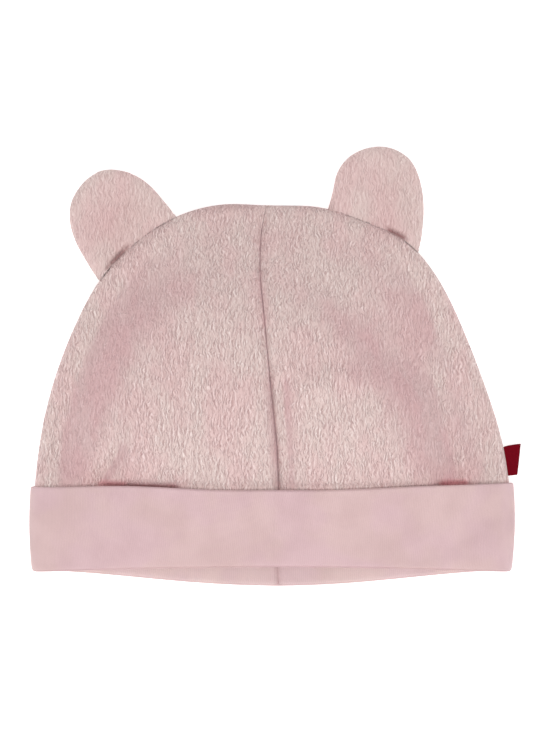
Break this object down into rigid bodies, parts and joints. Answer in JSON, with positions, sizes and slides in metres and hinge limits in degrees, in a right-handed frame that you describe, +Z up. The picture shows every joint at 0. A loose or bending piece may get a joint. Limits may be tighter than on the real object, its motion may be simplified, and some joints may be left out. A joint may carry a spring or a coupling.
{
  "type": "baby hat with ears",
  "caption": "Soft baby hat with round ears and a turned-up jersey cuff, lying flat on its back.",
  "frame": {"origin": "centre of the bounding box, on the surface that the hat lies on", "axes": "+X across the hat to the picture's right, +Y from the mouth to the top of the crown, +Z up through the front"},
  "size_m": [0.2038, 0.1826, 0.0352],
  "materials": {
    "fleece": "crinkled fleece, light pink",
    "jersey": "smooth doubled jersey, light pink",
    "tag": "woven tape, dark red"
  },
  "bodies": {
    "root": {"crown_front_left": "fleece", "crown_front_right": "fleece", "crown_back_left": "fleece", "crown_back_right": "fleece", "cuff": "jersey", "ear_left_front": "fleece", "ear_left_back": "fleece", "ear_right_front": "fleece", "ear_right_back": "fleece", "side_tag": "tag"}
  },
  "joints": []
}
